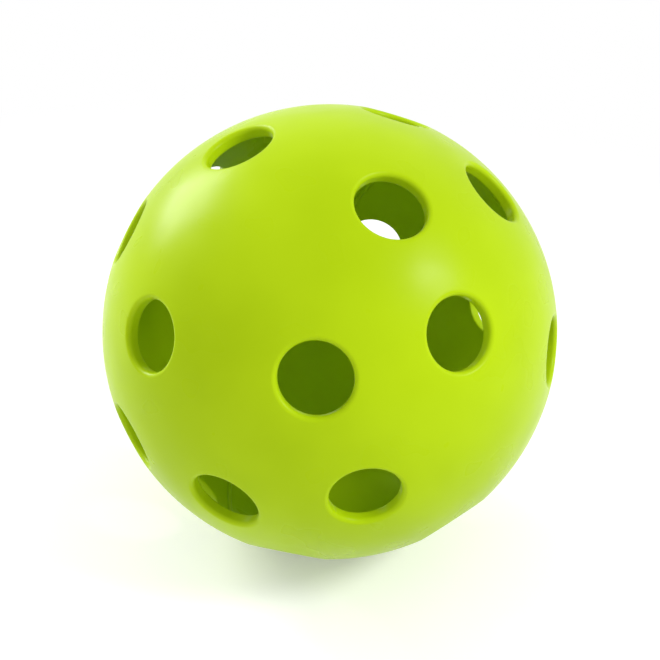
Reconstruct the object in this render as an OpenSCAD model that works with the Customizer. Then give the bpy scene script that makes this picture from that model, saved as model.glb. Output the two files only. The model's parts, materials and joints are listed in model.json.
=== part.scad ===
// Perforated court ball: two moulded half shells joined by a weld line.
// The origin is the ball's centre and +Z is up as the ball lies.
// Inside the lie, the mould axis is the local Z axis and the weld is the local XY plane.

/* [Ball] */
// Outside diameter of the ball
ball_d = 74; // [66:0.5:90]
// Thickness of the moulded wall
wall = 2; // [1.7:0.1:3]

/* [Air holes] */
// Diameter of each air hole at its neck
hole_d = 10.8; // [8:0.1:12]
// Radius of the round at the outer rim of a hole
outer_rim_r = 0.7; // [0.4:0.05:1.2]
// Radius of the round at the inner rim of a hole
inner_rim_r = 0.3; // [0.1:0.05:0.4]
// Number of holes in the ring round each pole hole
polar_ring_holes = 4; // [3:1:5]
// Angle of that ring from the pole, in degrees
polar_ring_angle = 37.8; // [34:0.1:42]
// Number of holes in the ring beside the weld
weld_ring_holes = 8; // [6:1:9]
// Turn of the weld ring against the polar ring, in degrees
weld_ring_turn = 22.5; // [0:0.5:45]
// Land of solid wall between the weld plane and the rims of the weld ring
weld_land = 1.9; // [0.8:0.05:3]
// Turn of the lower half against the upper half, in degrees
lower_half_turn = 69; // [55:0.5:80]
// Angle of the extra hole of the upper half from the pole, in degrees
extra_hole_angle = 52.5; // [50:0.5:55]
// Bearing of that hole round the mould axis, in degrees
extra_hole_bearing = 312; // [309:0.5:317]
// Place in the weld ring of the lower half that is left bare, counted from 1
bare_place = 5; // [1:1:8]

/* [Weld] */
// Height of the band of re-set plastic between the halves
weld_h = 0.8; // [0.4:0.1:1.2]

/* [Lie] */
// Lean of the mould axis from upright, in degrees
axis_lean = 63; // [0:1:90]
// Bearing that the mould axis leans towards, from +X, in degrees
axis_bearing = 210; // [0:1:359]
// Turn of the hole pattern about the mould axis, in degrees
pattern_turn = 82; // [0:0.5:90]

/* [Hidden] */
$fn = 96;

lime = [0.70, 0.83, 0.08];
weld_lime = [0.66, 0.79, 0.08];

outer_r = ball_d / 2;
inner_r = outer_r - wall;
hole_r = hole_d / 2;
weld_half = weld_h / 2;

// A round is never more than its share of the wall, so a straight neck is left between the two rounds.
outer_round = min(outer_rim_r, 0.6 * wall);
inner_round = min(inner_rim_r, 0.2 * wall);

// Each round stands this far proud of the face it runs into, and so meets it at a fine edge.
round_proud = 0.02;

// Centre of a rim round in the plane of the hole's axis, for a round whose centre is dist from the ball's centre.
function round_centre(round_r, dist) = [hole_r + round_r, sqrt(dist ^ 2 - (hole_r + round_r) ^ 2)];

outer_round_at = round_centre(outer_round, outer_r - outer_round + round_proud);
inner_round_at = round_centre(inner_round, inner_r + inner_round - round_proud);

// A flare runs from its round's centre along the ball's radius to this far beyond the wall.
flare_run = wall;
outer_flare = 1 + (outer_round + flare_run) / norm(outer_round_at);
inner_flare = 1 - (inner_round + flare_run) / norm(inner_round_at);

// The neck reaches right through both flares, so no film is left where they join.
neck_from = inner_round_at.y * inner_flare;
neck_to = outer_round_at.y * outer_flare;

// Angle that a rim covers on the outside of the ball, and from it the place of the weld ring.
rim_angle = asin((hole_r + outer_round) / (outer_r - outer_round));
land_angle = weld_land / outer_r * 180 / PI;
weld_ring_angle = 90 - rim_angle - land_angle;

// Holes of a half, each as its angle from the pole and its bearing round the mould axis.
function hole_ring(count, angle, turn) = [for (i = [0 : count - 1]) [angle, turn + i * 360 / count]];

cap_holes = concat([[0, 0]], hole_ring(polar_ring_holes, polar_ring_angle, 0));
weld_ring = hole_ring(weld_ring_holes, weld_ring_angle, weld_ring_turn);
upper_holes = concat(cap_holes, weld_ring, [[extra_hole_angle, extra_hole_bearing]]);
lower_holes = concat(cap_holes, [for (i = [0 : weld_ring_holes - 1]) if (i != bare_place - 1) weld_ring[i]]);

// Turns the mould frame into the lie of the ball.
module lie() {
    rotate([0, axis_lean, axis_bearing])
        rotate([0, 0, pattern_turn])
            children();
}

// Half section of one hole: its neck, which runs on into the flares, and a flare past the round at each rim.
module hole_section() {
    difference() {
        union() {
            translate([0, neck_from])
                square([hole_r, neck_to - neck_from]);
            flare_section(outer_round_at, outer_flare);
            flare_section(inner_round_at, inner_flare);
        }
        translate(outer_round_at) circle(outer_round);
        translate(inner_round_at) circle(inner_round);
    }
}

// Half section of the cone that opens a hole beyond a round, out to reach times the round's centre.
module flare_section(at, reach) {
    polygon([[0, at.y], at, at * reach, [0, at.y * reach]]);
}

// Half section of the ball's wall above the weld band.
module wall_section() {
    intersection() {
        difference() {
            circle(outer_r);
            circle(inner_r);
        }
        translate([0, weld_half]) square(ball_d);
    }
}

// One moulding with these holes, with its pole on +Z and its weld face on the weld band.
module half_shell(holes) {
    difference() {
        rotate_extrude() wall_section();
        for (hole = holes)
            rotate([0, hole[0], hole[1]])
                rotate_extrude() hole_section();
    }
}

module upper_half_shell() {
    color(lime) lie() half_shell(upper_holes);
}

// Turned over, with its own holes.
module lower_half_shell() {
    color(lime) lie() rotate([180, 0, lower_half_turn]) half_shell(lower_holes);
}

// Band of re-set plastic: flush with the outside, with a half-round bead on the inside.
module weld_bead() {
    bead_at = sqrt(inner_r ^ 2 - weld_half ^ 2);
    color(weld_lime) lie() rotate_extrude() {
        intersection() {
            circle(outer_r);
            translate([bead_at, -weld_half]) square([ball_d, weld_h]);
        }
        translate([bead_at, 0]) circle(weld_half);
    }
}

upper_half_shell();
lower_half_shell();
weld_bead();
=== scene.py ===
"""Looks of a perforated court ball: two welded half shells of satin lime plastic.

Lengths are in metres and angles in degrees, unless a name or a docstring says otherwise. The mould
frame has the mould axis as Z and the weld as its XY plane. The lie turns it into the part's frame.
"""

import json
import logging
from dataclasses import dataclass
from enum import Enum

import bmesh
import bpy
import numpy as np
from mathutils import Matrix, Vector


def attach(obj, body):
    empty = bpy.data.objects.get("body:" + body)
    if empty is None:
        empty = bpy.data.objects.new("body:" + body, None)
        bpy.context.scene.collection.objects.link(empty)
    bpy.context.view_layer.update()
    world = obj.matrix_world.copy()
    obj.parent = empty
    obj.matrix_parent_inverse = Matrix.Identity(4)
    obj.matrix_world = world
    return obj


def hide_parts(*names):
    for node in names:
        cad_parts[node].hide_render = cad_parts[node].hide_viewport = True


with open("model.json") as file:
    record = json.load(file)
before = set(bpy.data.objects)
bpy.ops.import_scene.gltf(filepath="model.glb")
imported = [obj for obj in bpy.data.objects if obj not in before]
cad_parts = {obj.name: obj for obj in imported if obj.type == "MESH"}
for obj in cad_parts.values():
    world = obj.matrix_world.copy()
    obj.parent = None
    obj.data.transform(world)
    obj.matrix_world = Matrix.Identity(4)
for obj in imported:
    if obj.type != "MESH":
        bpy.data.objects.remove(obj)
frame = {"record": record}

MM = 0.001
MERGE_DISTANCE = 0.001 * MM
CREASE_ANGLE = 40.0
log = logging.getLogger("ball")


def turn(axis: str, angle: float) -> np.ndarray:
    """Rotation about one axis, right-handed.

    Args:
        axis: "X", "Y" or "Z".
        angle: degrees.

    Returns:
        A 3 by 3 matrix.
    """
    return np.array(Matrix.Rotation(np.radians(angle), 3, axis))


def unit(vectors: np.ndarray) -> np.ndarray:
    """Vectors over their lengths, along the last axis."""
    return vectors / np.linalg.norm(vectors, axis=-1, keepdims=True)


def around_z(
    radius: np.ndarray | float, bearing: np.ndarray, height: np.ndarray | float
) -> np.ndarray:
    """Points round the Z axis, each at radius cos bearing, radius sin bearing and height.

    Args:
        radius: distance from the axis.
        bearing: angle from +X, in radians.
        height: height along the axis.

    Returns:
        One point for each entry of the three, spread to one shape, along a new last axis.
    """
    x = radius * np.cos(bearing)
    y = radius * np.sin(bearing)
    return np.stack(np.broadcast_arrays(x, y, height), axis=-1)


def grid_quads(rows: int, columns: int, close_rows: bool) -> np.ndarray:
    """Faces of a grid whose columns run round and close on themselves.

    Args:
        rows: number of rows of points.
        columns: number of points in each row.
        close_rows: whether the last row joins the first one too.

    Returns:
        Four point numbers a face. The faces point along column direction cross row direction.
    """
    row = np.arange(rows if close_rows else rows - 1)[:, None]
    column = np.arange(columns)[None, :]
    next_row = (row + 1) % rows * columns
    next_column = (column + 1) % columns
    row = row * columns
    corners = [row + column, row + next_column, next_row + next_column, next_row + column]
    return np.stack(corners, axis=-1).reshape(-1, 4)


def mesh_object(name: str, points: np.ndarray, quads: np.ndarray) -> bpy.types.Object:
    """Makes a smooth-shaded object, with points that fall together merged.

    Edges that bend by more than the crease angle stay sharp.

    Args:
        name: the object's name.
        points: one row a point.
        quads: four point numbers a face.

    Returns:
        The object, at the origin.
    """
    mesh = bpy.data.meshes.new(name)
    mesh.vertices.add(len(points))
    mesh.vertices.foreach_set("co", points.astype(np.float32).ravel())
    mesh.loops.add(quads.size)
    mesh.loops.foreach_set("vertex_index", quads.astype(np.int32).ravel())
    mesh.polygons.add(len(quads))
    mesh.polygons.foreach_set("loop_start", np.arange(0, quads.size, 4, dtype=np.int32))
    mesh.update(calc_edges=True)
    work = bmesh.new()
    work.from_mesh(mesh)
    bmesh.ops.remove_doubles(work, verts=work.verts, dist=MERGE_DISTANCE)
    work.to_mesh(mesh)
    work.free()
    mesh.shade_smooth()
    mesh.set_sharp_from_angle(angle=np.radians(CREASE_ANGLE))
    made = bpy.data.objects.new(name, mesh)
    bpy.context.scene.collection.objects.link(made)
    return made


class Half(Enum):
    """The two mouldings, each with the node that it dresses."""

    UPPER = "upper_half_shell"
    LOWER = "lower_half_shell"


@dataclass(frozen=True)
class Lie:
    """How the ball lies: the way its mould axis points, and its hole pattern's turn about it."""

    mould_axis: tuple[float, float, float]
    pattern_turn: float = 82.0

    def matrix(self) -> np.ndarray:
        """Turn from the mould frame to the part's frame.

        The pattern turns about Z. Then Z leans over, and swings round to the mould axis.

        Returns:
            A 3 by 3 matrix.
        """
        x, y, z = self.mould_axis
        lean = np.degrees(np.arccos(z))
        bearing = np.degrees(np.arctan2(y, x))
        return turn("Z", bearing) @ turn("Y", lean) @ turn("Z", self.pattern_turn)


@dataclass(frozen=True)
class Wall:
    """The moulded wall of the ball and the weld through it."""

    outer_r: float
    thickness: float = 2.0 * MM
    weld_height: float = 0.8 * MM

    @property
    def inner_r(self) -> float:
        """Radius of the inside face."""
        return self.outer_r - self.thickness

    @property
    def weld_half(self) -> float:
        """Height of a half's weld face above the weld plane."""
        return self.weld_height / 2


@dataclass(frozen=True)
class AirHole:
    """Section of an air hole through the wall: a straight neck with a round at each rim."""

    wall: Wall
    neck_r: float
    outer_round: float = 0.7 * MM
    inner_round: float = 0.3 * MM
    outer_steps: int = 14
    neck_steps: int = 3
    inner_steps: int = 8

    def outer_angle(self) -> float:
        """Angle in radians, at the ball's centre, from the hole's axis to the outer round's end."""
        off_axis = self.neck_r + self.outer_round
        return float(np.arcsin(off_axis / (self.wall.outer_r - self.outer_round)))

    def inner_angle(self) -> float:
        """Angle in radians, at the ball's centre, from the hole's axis to the inner round's end."""
        off_axis = self.neck_r + self.inner_round
        return float(np.arcsin(off_axis / (self.wall.inner_r + self.inner_round)))

    def section(self) -> np.ndarray:
        """Section from the end of the outer round, through the neck, to the end of the inner round.

        Each round is an arc that is tangent to the face of the ball at one end and to the neck at
        the other. Its centre lies a round's radius inside the wall, so at an angle a from the hole's
        axis and a distance d from the ball's centre it stands d sin a off the axis and d cos a high.

        Returns:
            One row a point: distance from the hole's axis, and height above the ball's centre.
        """
        outer_at = (self.wall.outer_r - self.outer_round) * np.cos(self.outer_angle())
        inner_at = (self.wall.inner_r + self.inner_round) * np.cos(self.inner_angle())
        outer_arc = np.linspace(np.pi / 2 - self.outer_angle(), np.pi, self.outer_steps + 1)
        inner_arc = np.linspace(np.pi, 3 * np.pi / 2 - self.inner_angle(), self.inner_steps + 1)
        neck = np.linspace(outer_at, inner_at, self.neck_steps + 1)[1:-1]
        off_axis = [
            self.neck_r + self.outer_round * (1 + np.cos(outer_arc)),
            np.full_like(neck, self.neck_r),
            self.neck_r + self.inner_round * (1 + np.cos(inner_arc)),
        ]
        height = [
            outer_at + self.outer_round * np.sin(outer_arc),
            neck,
            inner_at + self.inner_round * np.sin(inner_arc),
        ]
        return np.stack([np.concatenate(off_axis), np.concatenate(height)], axis=-1)


@dataclass(frozen=True)
class HolePattern:
    """Places of the halves' holes: a hole at the pole, a ring round it and a ring beside the weld.

    The upper half has one hole more, between its rings. The lower half leaves one place of its weld
    ring bare, counted from 1.
    """

    hole: AirHole
    polar_count: int = 4
    polar_angle: float = 37.8
    weld_count: int = 8
    weld_turn: float = 22.5
    weld_land: float = 1.9 * MM
    extra_angle: float = 52.5
    extra_bearing: float = 312.0
    bare_place: int = 5

    def directions(self, half: Half) -> np.ndarray:
        """Directions of a half's holes from the ball's centre, with the half's pole on +Z.

        The weld ring stands so far from the weld plane that a land is left beside its outer rims.

        Args:
            half: the moulding whose holes are asked for.

        Returns:
            One unit vector a hole.
        """
        land_angle = self.weld_land / self.hole.wall.outer_r
        weld_angle = np.pi / 2 - self.hole.outer_angle() - land_angle
        polar = self._ring(self.polar_count, np.radians(self.polar_angle), 0.0)
        weld = self._ring(self.weld_count, weld_angle, np.radians(self.weld_turn))
        cap = np.concatenate([[[0.0, 0.0, 1.0]], polar])
        if half is Half.LOWER:
            return np.concatenate([cap, np.delete(weld, self.bare_place - 1, axis=0)])
        extra = self._ring(1, np.radians(self.extra_angle), np.radians(self.extra_bearing))
        return np.concatenate([cap, weld, extra])

    @staticmethod
    def _ring(count: int, angle: float, first: float) -> np.ndarray:
        """Directions spaced evenly round the pole.

        Args:
            count: number of directions.
            angle: their angle from the pole, in radians.
            first: bearing of the first one, in radians.

        Returns:
            One unit vector a direction.
        """
        bearing = first + np.arange(count) * 2 * np.pi / count
        return around_z(np.sin(angle), bearing, np.cos(angle))


@dataclass
class HalfShell:
    """One moulding. The face is shared out among its holes, and each share is one grid.

    A hole's share, or cell, is all that lies nearer to it than to any other hole, above the weld
    face. Its edges are arcs midway between two holes, and on the weld. The grid's columns run round
    the hole, one for each point of the cell's edge. Its rows run from that edge in over the outside
    face, round the rims and through the neck, and back over the inside face to the same edge.

    On the unit sphere, lengths under touch count as none, and corners nearer to each other than
    least_edge as one. Corners are ordered by a bearing counted from across off_holes, a direction
    along which no hole lies.
    """

    half: Half
    wall: Wall
    pattern: HolePattern
    lie: Lie
    lower_turn: float = 69.0
    edge_step: float = 1.25
    land_steps: int = 12
    touch: float = 1e-9
    least_edge: float = 3e-5
    off_holes: tuple[float, float, float] = (0.36, 0.48, -0.8)

    def corners(self, holes: np.ndarray, own: int, cut: float) -> np.ndarray:
        """Corners of a cell on the unit sphere, in order round its hole.

        A plane midway to another hole has that hole's direction, taken from the own one, as its
        normal. Two such planes meet the sphere along their cross product, and each meets the weld
        circle at two bearings. The corners are those meetings that lie on the right side of all.

        Args:
            holes: unit vectors to the holes.
            own: number of the cell's own hole.
            cut: height of the weld face on the unit sphere.

        Returns:
            One unit vector a corner.
        """
        planes = holes[own] - np.delete(holes, own, axis=0)
        first, second = np.triu_indices(len(planes), 1)
        meets = np.cross(planes[first], planes[second])
        meets = unit(meets[np.linalg.norm(meets, axis=1) > self.touch])
        cut_r = np.sqrt(1 - cut**2)
        cosine = -planes[:, 2] * cut / (np.hypot(planes[:, 0], planes[:, 1]) * cut_r)
        crossing = np.abs(cosine) < 1
        facing = np.arctan2(planes[crossing, 1], planes[crossing, 0])
        swing = np.arccos(cosine[crossing])
        weld = around_z(cut_r, np.concatenate([facing + swing, facing - swing]), cut)
        found = np.concatenate([meets, -meets, weld])
        inside = (found @ planes.T > -self.touch).all(axis=1) & (found[:, 2] > cut - self.touch)
        found = found[inside]
        across = unit(np.cross(holes[own], self.off_holes))
        around = np.arctan2(found @ np.cross(holes[own], across), found @ across)
        found = found[np.argsort(around)]
        gap = np.linalg.norm(found - np.roll(found, 1, axis=0), axis=1)
        return found[gap > self.least_edge]

    @staticmethod
    def outline(
        corners: np.ndarray, counts: np.ndarray, cut: float
    ) -> tuple[np.ndarray, np.ndarray]:
        """Points along a cell's edges, evenly from corner to corner.

        Args:
            corners: unit vectors to the corners, in order.
            counts: number of points on the edge that follows each corner.
            cut: height of the weld face on the unit sphere.

        Returns:
            Unit vectors to the points, and whether the stretch after each one lies on the weld.
        """
        first = np.cumsum(counts) - counts
        step = np.arange(counts.sum()) - np.repeat(first, counts)
        share = step / np.repeat(counts, counts)
        start = np.repeat(corners, counts, axis=0)
        end = np.repeat(np.roll(corners, -1, axis=0), counts, axis=0)
        points = unit(start + share[:, None] * (end - start))
        on_weld = np.isclose(start[:, 2], cut) & np.isclose(end[:, 2], cut)
        flat = unit(points[on_weld, :2]) * np.sqrt(1 - cut**2)
        points[on_weld] = np.column_stack([flat, np.full(len(flat), cut)])
        return points, on_weld

    def edges(self, holes: np.ndarray, own: int) -> tuple[np.ndarray, np.ndarray, np.ndarray]:
        """Edge of a cell on the outside and on the inside face, with as many points on each.

        Args:
            holes: unit vectors to the holes.
            own: number of the cell's own hole.

        Returns:
            Unit vectors to the outside points and to the inside ones, and whether the stretch after
            each one lies on the weld.
        """
        outer_cut = self.wall.weld_half / self.wall.outer_r
        inner_cut = self.wall.weld_half / self.wall.inner_r
        corners = self.corners(holes, own, outer_cut)
        ahead = (corners * np.roll(corners, -1, axis=0)).sum(axis=1)
        counts = np.ceil(np.degrees(np.arccos(ahead)) / self.edge_step).astype(int)
        outer_edge, on_weld = self.outline(corners, counts, outer_cut)
        inner_edge, _ = self.outline(self.corners(holes, own, inner_cut), counts, inner_cut)
        return outer_edge, inner_edge, on_weld

    def cell(self, holes: np.ndarray, own: int) -> tuple[np.ndarray, np.ndarray]:
        """Grid of one cell, and the faces that close its weld face.

        Over the outside face each column is an arc about the ball's centre, whose angle from the
        hole's axis shrinks evenly from the edge to the outer round. Through the wall it follows the
        hole's section. Over the inside face it goes straight from the rim to the edge, and each
        point is moved along its radius on to the face.

        Args:
            holes: unit vectors to the holes.
            own: number of the cell's own hole.

        Returns:
            The points of the grid, and its faces as four point numbers each.
        """
        hole = self.pattern.hole
        axis = holes[own]
        outer_edge, inner_edge, on_weld = self.edges(holes, own)
        along = outer_edge @ axis
        side = outer_edge - along[:, None] * axis
        reach = np.arctan2(np.linalg.norm(side, axis=1), along)
        side = unit(side)
        share = np.linspace(0, 1, self.land_steps + 1)[:, None]
        angle = (reach + share * (hole.outer_angle() - reach))[:, :, None]
        outside = self.wall.outer_r * (np.cos(angle) * axis + np.sin(angle) * side)
        section = hole.section()[:, :, None, None]
        through = section[:, 1] * axis + section[:, 0] * side
        rim = unit(through[-1])
        inside = self.wall.inner_r * unit(rim + share[:, :, None] * (inner_edge - rim))
        points = np.concatenate([outside[:-1], through, inside[1:]])

        rows, columns = points.shape[:2]
        quads = grid_quads(rows, columns, close_rows=False)
        first = np.flatnonzero(on_weld)
        second = (first + 1) % columns
        last_row = (rows - 1) * columns
        weld_face = np.stack([first, last_row + first, last_row + second, second], axis=-1)
        return points.reshape(-1, 3), np.concatenate([quads, weld_face])

    def build(self) -> bpy.types.Object:
        """Builds all the cells as one closed mesh. The lower half is turned over.

        Returns:
            The moulding, where it lies.
        """
        holes = self.pattern.directions(self.half)
        cells = [self.cell(holes, own) for own in range(len(holes))]
        starts = np.cumsum([0] + [len(points) for points, _ in cells[:-1]])
        points = np.concatenate([points for points, _ in cells])
        quads = np.concatenate([quads + start for (_, quads), start in zip(cells, starts)])
        flip = np.eye(3) if self.half is Half.UPPER else turn("Z", self.lower_turn) @ turn("X", 180)
        return mesh_object(f"{self.half.value}_skin", points @ (self.lie.matrix() @ flip).T, quads)


@dataclass
class WeldBand:
    """Band of re-set plastic between the halves: flush outside, with a half-round bead inside."""

    wall: Wall
    lie: Lie
    columns: int = 360
    face_steps: int = 5
    bead_steps: int = 10

    def build(self) -> bpy.types.Object:
        """Carries the band's section once round the mould axis.

        The section follows the outside of the ball up across the weld, goes in along the upper weld
        face, down round the bead and out along the lower weld face.

        Returns:
            The band, where it lies.
        """
        half = self.wall.weld_half
        bead_at = np.sqrt(self.wall.inner_r**2 - half**2)
        rise = np.linspace(-half, half, self.face_steps)
        bead = np.linspace(np.pi / 2, 3 * np.pi / 2, self.bead_steps)
        outside = np.sqrt(self.wall.outer_r**2 - rise**2)
        radius = np.concatenate([outside, bead_at + half * np.cos(bead)])
        height = np.concatenate([rise, half * np.sin(bead)])
        bearing = np.linspace(0, 2 * np.pi, self.columns, endpoint=False)
        points = around_z(radius[:, None], bearing, height[:, None]).reshape(-1, 3)
        quads = grid_quads(len(radius), self.columns, close_rows=True)
        return mesh_object("weld_band", points @ self.lie.matrix().T, quads)


class Nodes:
    """Short way to add and join the nodes of a material or a world."""

    def __init__(self, tree: bpy.types.NodeTree) -> None:
        """Empties the tree.

        Args:
            tree: the node tree to fill.
        """
        self.tree = tree
        tree.nodes.clear()

    def add(
        self, kind: str, inputs: dict[str | int, object] | None = None, **settings: object
    ) -> bpy.types.Node:
        """Adds a node.

        Args:
            kind: the node's type, without the leading ShaderNode.
            inputs: sockets by name or number. Each is a constant, or a socket to link from.
            settings: properties of the node.

        Returns:
            The new node.
        """
        node = self.tree.nodes.new("ShaderNode" + kind)
        for name, setting in settings.items():
            setattr(node, name, setting)
        for socket, value in (inputs or {}).items():
            if isinstance(value, bpy.types.NodeSocket):
                self.tree.links.new(value, node.inputs[socket])
            else:
                node.inputs[socket].default_value = value
        return node

    def math(self, operation: str, first: object, second: object) -> bpy.types.NodeSocket:
        """Result of one operation on two numbers or sockets."""
        return self.add("Math", {0: first, 1: second}, operation=operation).outputs[0]

    def noise(
        self, place: bpy.types.NodeSocket, scale: float, detail: float
    ) -> bpy.types.NodeSocket:
        """Noise of a scale, with this many finer layers on it."""
        inputs = {"Vector": place, "Scale": scale, "Detail": detail}
        return self.add("TexNoise", inputs).outputs["Fac"]

    def spread(
        self,
        value: bpy.types.NodeSocket,
        source: tuple[float, float],
        target: tuple[float, float] = (0.0, 1.0),
    ) -> bpy.types.NodeSocket:
        """Maps one range of a value to another, with a smooth start and end.

        Args:
            value: the value to map.
            source: the range to map from.
            target: the range to map to.

        Returns:
            The mapped value.
        """
        ends = zip(("From Min", "From Max", "To Min", "To Max"), (*source, *target))
        inputs = {"Value": value, **dict(ends)}
        return self.add("MapRange", inputs, interpolation_type="SMOOTHSTEP").outputs["Result"]

    def mix_colours(
        self,
        share: bpy.types.NodeSocket,
        first: tuple[float, float, float],
        second: tuple[float, float, float],
    ) -> bpy.types.NodeSocket:
        """Mixes two colours.

        The names of a Mix node's sockets repeat for each type of data. By number, a colour mix
        takes its share on 0 and its colours on 6 and 7, and gives its result on 2.

        Args:
            share: how much of the second colour there is.
            first: red, green and blue of the first colour.
            second: red, green and blue of the second colour.

        Returns:
            The mixed colour.
        """
        inputs = {0: share, 6: (*first, 1.0), 7: (*second, 1.0)}
        return self.add("Mix", inputs, data_type="RGBA").outputs[2]

    def mix_shaders(
        self,
        share: bpy.types.NodeSocket,
        first: bpy.types.NodeSocket,
        second: bpy.types.NodeSocket,
    ) -> bpy.types.NodeSocket:
        """Mixes two shaders, where share says how much of the second there is."""
        return self.add("MixShader", {0: share, 1: first, 2: second}).outputs[0]

    def seen(self) -> bpy.types.NodeSocket:
        """One for rays of the camera, of reflections and through clear things, zero for others."""
        rays = self.add("LightPath").outputs
        mirrored = self.math("MAXIMUM", rays["Is Glossy Ray"], rays["Is Transmission Ray"])
        return self.math("MAXIMUM", rays["Is Camera Ray"], mirrored)


@dataclass(frozen=True)
class SatinPlastic:
    """Moulded lime plastic: a faint drift of tone, a slow ripple and a fine grain, softly glossy.

    The middle of a noise, noise_range, is spread over the tones and over the roughness.
    """

    name: str
    colour: tuple[float, float, float] = (0.46, 0.66, 0.004)
    deep_colour: tuple[float, float, float] = (0.42, 0.61, 0.002)
    tone_scale: float = 55.0
    tone_detail: float = 2.0
    roughness: tuple[float, float] = (0.27, 0.34)
    gloss: float = 0.08
    ripple_scale: float = 160.0
    ripple_detail: float = 1.0
    ripple_height: float = 0.012 * MM
    grain_scale: float = 2600.0
    grain_detail: float = 2.0
    grain_height: float = 0.004 * MM
    noise_range: tuple[float, float] = (0.3, 0.7)

    def material(self) -> bpy.types.Material:
        """Makes the material. Its patterns are noises in the part's own frame.

        Returns:
            The material.
        """
        made = bpy.data.materials.new(self.name)
        made.use_nodes = True
        nodes = Nodes(made.node_tree)
        place = nodes.add("TexCoord").outputs["Object"]
        tone = nodes.noise(place, self.tone_scale, self.tone_detail)
        ripple = nodes.noise(place, self.ripple_scale, self.ripple_detail)
        grain = nodes.noise(place, self.grain_scale, self.grain_detail)
        tone_share = nodes.spread(tone, self.noise_range)
        colour = nodes.mix_colours(tone_share, self.deep_colour, self.colour)
        rippled = nodes.add("Bump", {
            "Strength": 1.0,
            "Distance": self.ripple_height,
            "Height": ripple,
        })
        grained = nodes.add("Bump", {
            "Strength": 1.0,
            "Distance": self.grain_height,
            "Height": grain,
            "Normal": rippled.outputs["Normal"],
        })
        shader = nodes.add("BsdfPrincipled", {
            "Base Color": colour,
            "Roughness": nodes.spread(ripple, self.noise_range, self.roughness),
            "Specular IOR Level": self.gloss,
            "Normal": grained.outputs["Normal"],
        })
        nodes.add("OutputMaterial", {"Surface": shader.outputs["BSDF"]})
        return made


@dataclass(frozen=True)
class PhotoCamera:
    """Camera at the photograph's viewing angle, set from the ball's outline in the frame."""

    ball_r: float
    azimuth: float = 27.55
    elevation: float = 29.12
    roll: float = 3.73
    distance_in_radii: float = 5.85
    frame_px: float = 660.0
    outline_px: float = 227.66
    centre_px: tuple[float, float] = (329.86, 331.71)
    sensor_mm: float = 36.0
    clip_start: float = 1 * MM

    def rotation(self) -> np.ndarray:
        """Turn from the camera's own right, up and back to the part's frame, as a 3 by 3 matrix."""
        return turn("Z", self.azimuth) @ turn("X", 90 - self.elevation) @ turn("Z", self.roll)

    def toward(self, right: float, up: float, back: float) -> np.ndarray:
        """Unit vector in the part's frame of a direction given as the camera sees it."""
        return unit(self.rotation() @ np.array([right, up, back]))

    def build(self) -> None:
        """Makes the camera, and gives it to the scene.

        A ball of radius 1 at a distance d fills a cone whose half angle has the sine 1 / d. So the
        radius of its outline is the focal length over the root of d squared less 1.
        """
        focal_px = self.outline_px * np.sqrt(self.distance_in_radii**2 - 1)
        lens = bpy.data.cameras.new("photo_camera")
        lens.sensor_width = self.sensor_mm
        lens.lens = focal_px * self.sensor_mm / self.frame_px
        lens.shift_x = (self.frame_px / 2 - self.centre_px[0]) / self.frame_px
        lens.shift_y = (self.centre_px[1] - self.frame_px / 2) / self.frame_px
        lens.clip_start = self.clip_start
        camera = bpy.data.objects.new("photo_camera", lens)
        place = Matrix(self.rotation().tolist()).to_4x4()
        place.translation = self.toward(0, 0, 1) * self.distance_in_radii * self.ball_r
        camera.matrix_world = place
        bpy.context.scene.collection.objects.link(camera)
        bpy.context.scene.camera = camera


@dataclass(frozen=True)
class Softbox:
    """A square soft lamp, placed as the camera sees it.

    Its level says how strongly it lights the ball, at any distance.
    """

    name: str
    right: float
    up: float
    back: float
    level: float
    width: float
    distance: float = 0.6

    def build(self, camera: PhotoCamera) -> None:
        """Makes the lamp, aimed at the ball.

        Its power is the level times the square of pi times the distance.

        Args:
            camera: the camera whose right, up and back the lamp's place is given in.
        """
        lamp = bpy.data.lights.new(self.name, "AREA")
        lamp.shape = "SQUARE"
        lamp.size = self.width
        lamp.energy = self.level * np.pi**2 * self.distance**2
        made = bpy.data.objects.new(self.name, lamp)
        away = Vector(camera.toward(self.right, self.up, self.back))
        made.location = away * self.distance
        made.rotation_mode = "QUATERNION"
        made.rotation_quaternion = away.to_track_quat("Z", "Y")
        bpy.context.scene.collection.objects.link(made)


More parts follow.
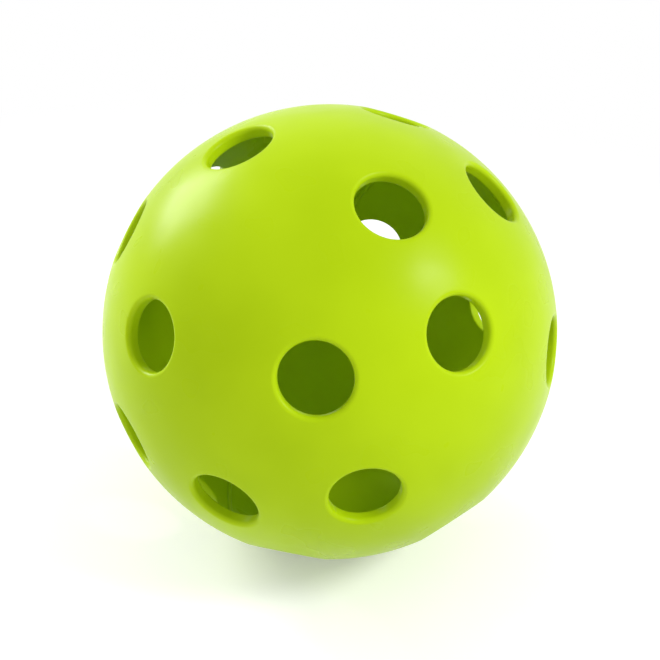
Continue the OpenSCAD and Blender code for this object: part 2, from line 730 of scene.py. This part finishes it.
@dataclass(frozen=True)
class Studio:
    """Pale floor, white surroundings and soft lamps."""

    camera: PhotoCamera
    floor_z: float
    floor_r: float = 4.0
    floor_colour: float = 0.82
    floor_lift: float = 0.28
    fade: tuple[float, float] = (0.06, 0.22)
    ambient: float = 0.66
    first_ring: float = 0.0005
    rings: int = 48
    spokes: int = 96

    def build(self) -> None:
        """Makes the floor, the world and the lamps."""
        floor = self.floor()
        floor.data.materials.append(self.floor_finish())
        self.world()
        for lamp in (
            Softbox("key_softbox", right=0.73, up=0.39, back=0.56, level=0.56, width=0.17),
            Softbox("back_softbox", right=-0.70, up=0.66, back=-0.27, level=0.80, width=0.25),
        ):
            lamp.build(self.camera)

    def floor(self) -> bpy.types.Object:
        """A level disc as rings and spokes.

        The rings' radii are the squares of even steps, so they lie closer together near the ball.

        Returns:
            The disc, under the ball.
        """
        radius = self.floor_r * np.square(np.linspace(self.first_ring, 1, self.rings))
        bearing = np.linspace(0, 2 * np.pi, self.spokes, endpoint=False)
        points = around_z(radius[:, None], bearing, self.floor_z).reshape(-1, 3)
        quads = grid_quads(self.rings, self.spokes, close_rows=False)
        return mesh_object("floor", points, quads[:, ::-1])

    def floor_finish(self) -> bpy.types.Material:
        """Pale floor that keeps the ball's shadow, and is seen as plain white further off.

        Returns:
            The material.
        """
        made = bpy.data.materials.new("pale_floor")
        made.use_nodes = True
        nodes = Nodes(made.node_tree)
        place = nodes.add("TexCoord").outputs["Object"]
        away = nodes.add("VectorMath", {"Vector": place}, operation="LENGTH").outputs["Value"]
        far = nodes.spread(away, self.fade)
        seen = nodes.seen()
        paint = nodes.add("BsdfDiffuse", {"Color": (*[self.floor_colour] * 3, 1.0)})
        lift = nodes.add("Emission", {"Strength": nodes.math("MULTIPLY", seen, self.floor_lift)})
        near = nodes.add("AddShader", {0: paint.outputs[0], 1: lift.outputs[0]})
        white = nodes.add("Emission", {"Strength": 1.0})
        white_share = nodes.math("MULTIPLY", far, seen)
        mixed = nodes.mix_shaders(white_share, near.outputs[0], white.outputs[0])
        nodes.add("OutputMaterial", {"Surface": mixed})
        return made

    def world(self) -> None:
        """White surroundings, which light the ball at a plain level."""
        made = bpy.data.worlds.new("white_studio")
        made.use_nodes = True
        nodes = Nodes(made.node_tree)
        light, white = [
            nodes.add("Background", {"Color": (1.0, 1.0, 1.0, 1.0), "Strength": strength})
            for strength in (self.ambient, 1.0)
        ]
        mixed = nodes.mix_shaders(nodes.seen(), light.outputs[0], white.outputs[0])
        nodes.add("OutputWorld", {"Surface": mixed})
        bpy.context.scene.world = made


def dress(piece: bpy.types.Object, finish: bpy.types.Material, node: str) -> None:
    """Gives a piece its finish, and puts it in the place of its node.

    Args:
        piece: the new piece.
        finish: its material.
        node: the solid that it stands for.
    """
    piece.data.materials.append(finish)
    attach(piece, "root")
    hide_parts(node)
    log.info("%s: %d faces, for %s", piece.name, len(piece.data.polygons), node)


def main() -> None:
    """Builds the ball, then the studio round it."""
    logging.basicConfig(level=logging.INFO, format="%(name)s: %(message)s")
    bpy.context.scene.view_settings.view_transform = "Standard"
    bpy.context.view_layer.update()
    mounts = {mount["name"]: mount for mount in frame["record"]["mounts"]}
    pole = mounts["upper_pole_hole"]
    ball_r = -mounts["ground_contact"]["pos_m"][2]

    camera = PhotoCamera(ball_r)
    camera.build()
    lie = Lie(tuple(pole["axis"]))
    wall = Wall(ball_r)
    pattern = HolePattern(AirHole(wall, pole["dims"]["r_mm"] * MM))
    shell_plastic = SatinPlastic("lime_shell_plastic").material()
    weld_plastic = SatinPlastic("lime_weld_plastic").material()
    for half in Half:
        dress(HalfShell(half, wall, pattern, lie).build(), shell_plastic, half.value)
    dress(WeldBand(wall, lie).build(), weld_plastic, "weld_bead")
    Studio(camera, floor_z=-ball_r).build()


if __name__ == "__main__":
    main()
